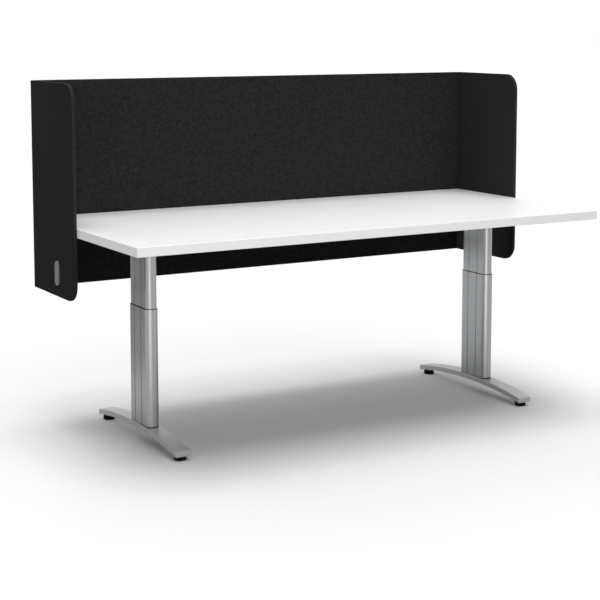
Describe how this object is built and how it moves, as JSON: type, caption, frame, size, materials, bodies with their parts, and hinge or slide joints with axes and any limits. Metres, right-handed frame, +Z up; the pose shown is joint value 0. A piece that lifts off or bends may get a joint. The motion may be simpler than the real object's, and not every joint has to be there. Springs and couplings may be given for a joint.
{
  "type": "study carrel",
  "caption": "Single study carrel: a white desk top on two telescopic silver legs with arched feet, closed in by a dark felt back screen and side wings that reach below the top.",
  "frame": {"origin": "on the floor, midway between the outsides of the wings and midway between the front edge of the top and the back of the screen", "axes": "+X to the sitter's right, +Y away from the sitter towards the back screen, +Z up"},
  "size_m": [1.829, 0.862, 1.197],
  "materials": {
    "laminate_white": "smooth white melamine, low sheen",
    "edge_white": "white edge strip, low sheen",
    "board": "raw chipboard",
    "felt": "pressed charcoal felt",
    "dowel_wood": "plain beech",
    "tag_grey": "moulded grey",
    "frame_steel": "silver-grey powder coat",
    "zinc_steel": "zinc plated",
    "column_silver": "silver anodised, drawn lengthwise",
    "foot_silver": "silver lacquer, satin",
    "black_plastic": "moulded black"
  },
  "bodies": {
    "left_base": {"left_foot": "foot_silver", "left_foot_gasket": "black_plastic", "left_lower_column": "column_silver", "left_column_collar": "black_plastic", "left_base_block": "frame_steel", "left_foot_bolts": "zinc_steel", "left_clamp_block": "frame_steel", "left_block_screws": "zinc_steel"},
    "top": {"desktop_core": "board", "top_laminate": "laminate_white", "underside_laminate": "laminate_white", "front_edge_band": "edge_white", "rear_edge_band": "edge_white", "left_edge_band": "edge_white", "right_edge_band": "edge_white", "back_screen": "felt", "left_wing": "felt", "right_wing": "felt", "corner_dowels": "dowel_wood", "tag_plate": "tag_grey", "rear_bracket_left": "frame_steel", "rear_bracket_centre": "frame_steel", "rear_bracket_right": "frame_steel", "left_wing_bracket": "frame_steel", "right_wing_bracket": "frame_steel", "bracket_screws": "zinc_steel", "left_support_arm": "frame_steel", "right_support_arm": "frame_steel", "front_cross_rail": "frame_steel", "rear_cross_rail": "frame_steel", "rail_bolts": "zinc_steel", "arm_screws": "zinc_steel", "left_head_plate": "frame_steel", "right_head_plate": "frame_steel", "head_screws": "zinc_steel", "left_upper_column": "column_silver", "right_upper_column": "column_silver", "left_end_shoe": "black_plastic", "right_end_shoe": "black_plastic", "shoe_screws": "zinc_steel"},
    "right_base": {"right_foot": "foot_silver", "right_foot_gasket": "black_plastic", "right_lower_column": "column_silver", "right_column_collar": "black_plastic", "right_base_block": "frame_steel", "right_foot_bolts": "zinc_steel", "right_clamp_block": "frame_steel", "right_block_screws": "zinc_steel"},
    "left_front_leveller_pad": {"left_front_leveller_pad": "black_plastic"},
    "left_front_leveller_stud": {"left_front_leveller_stud": "zinc_steel"},
    "left_rear_leveller_pad": {"left_rear_leveller_pad": "black_plastic"},
    "left_rear_leveller_stud": {"left_rear_leveller_stud": "zinc_steel"},
    "left_clamp_shoe": {"left_clamp_shoe": "black_plastic"},
    "left_clamp_screw": {"left_clamp_screw": "zinc_steel"},
    "right_front_leveller_pad": {"right_front_leveller_pad": "black_plastic"},
    "right_front_leveller_stud": {"right_front_leveller_stud": "zinc_steel"},
    "right_rear_leveller_pad": {"right_rear_leveller_pad": "black_plastic"},
    "right_rear_leveller_stud": {"right_rear_leveller_stud": "zinc_steel"},
    "right_clamp_shoe": {"right_clamp_shoe": "black_plastic"},
    "right_clamp_screw": {"right_clamp_screw": "zinc_steel"}
  },
  "joints": [
    {"name": "top_lift", "type": "slide", "parent": "left_base", "child": "top", "axis": [0, 0, 1], "range_m": [-0.108, 0.142]},
    {"name": "right_base_lift", "type": "slide", "parent": "top", "child": "right_base", "axis": [0, 0, -1], "range_m": [-0.108, 0.142]},
    {"name": "left_front_leveller_height", "type": "slide", "parent": "left_base", "child": "left_front_leveller_pad", "axis": [0, 0, 1], "range_m": [-0.006, 0.002]},
    {"name": "left_front_leveller_turn", "type": "hinge", "parent": "left_front_leveller_pad", "child": "left_front_leveller_stud", "pos_m": [-0.69, -0.274, 0.016], "axis": [0, 0, 1], "range_deg": [-1440.1, 480.1]},
    {"name": "left_rear_leveller_height", "type": "slide", "parent": "left_base", "child": "left_rear_leveller_pad", "axis": [0, 0, 1], "range_m": [-0.006, 0.002]},
    {"name": "left_rear_leveller_turn", "type": "hinge", "parent": "left_rear_leveller_pad", "child": "left_rear_leveller_stud", "pos_m": [-0.69, 0.307, 0.016], "axis": [0, 0, 1], "range_deg": [-1440.1, 480.1]},
    {"name": "left_clamp_release", "type": "slide", "parent": "left_base", "child": "left_clamp_shoe", "axis": [0, 1, 0], "range_m": [0, 0.001]},
    {"name": "left_clamp_turn", "type": "hinge", "parent": "left_clamp_shoe", "child": "left_clamp_screw", "pos_m": [-0.69, 0.08, 0.419], "axis": [0, 1, 0], "range_deg": [0, 360.1]},
    {"name": "right_front_leveller_height", "type": "slide", "parent": "right_base", "child": "right_front_leveller_pad", "axis": [0, 0, 1], "range_m": [-0.006, 0.002]},
    {"name": "right_front_leveller_turn", "type": "hinge", "parent": "right_front_leveller_pad", "child": "right_front_leveller_stud", "pos_m": [0.69, -0.274, 0.016], "axis": [0, 0, 1], "range_deg": [-1440.1, 480.1]},
    {"name": "right_rear_leveller_height", "type": "slide", "parent": "right_base", "child": "right_rear_leveller_pad", "axis": [0, 0, 1], "range_m": [-0.006, 0.002]},
    {"name": "right_rear_leveller_turn", "type": "hinge", "parent": "right_rear_leveller_pad", "child": "right_rear_leveller_stud", "pos_m": [0.69, 0.307, 0.016], "axis": [0, 0, 1], "range_deg": [-1440.1, 480.1]},
    {"name": "right_clamp_release", "type": "slide", "parent": "right_base", "child": "right_clamp_shoe", "axis": [0, 1, 0], "range_m": [0, 0.001]},
    {"name": "right_clamp_turn", "type": "hinge", "parent": "right_clamp_shoe", "child": "right_clamp_screw", "pos_m": [0.69, 0.08, 0.419], "axis": [0, 1, 0], "range_deg": [0, 360.1]}
  ],
  "couplings": [
    {"joint": "right_base_lift", "follows": "top_lift", "ratio": 1},
    {"joint": "left_front_leveller_turn", "follows": "left_front_leveller_height", "rad_per_m": 4188.8},
    {"joint": "left_rear_leveller_turn", "follows": "left_rear_leveller_height", "rad_per_m": 4188.8},
    {"joint": "left_clamp_turn", "follows": "left_clamp_release", "rad_per_m": 6283.2},
    {"joint": "right_front_leveller_turn", "follows": "right_front_leveller_height", "rad_per_m": 4188.8},
    {"joint": "right_rear_leveller_turn", "follows": "right_rear_leveller_height", "rad_per_m": 4188.8},
    {"joint": "right_clamp_turn", "follows": "right_clamp_release", "rad_per_m": 6283.2}
  ]
}
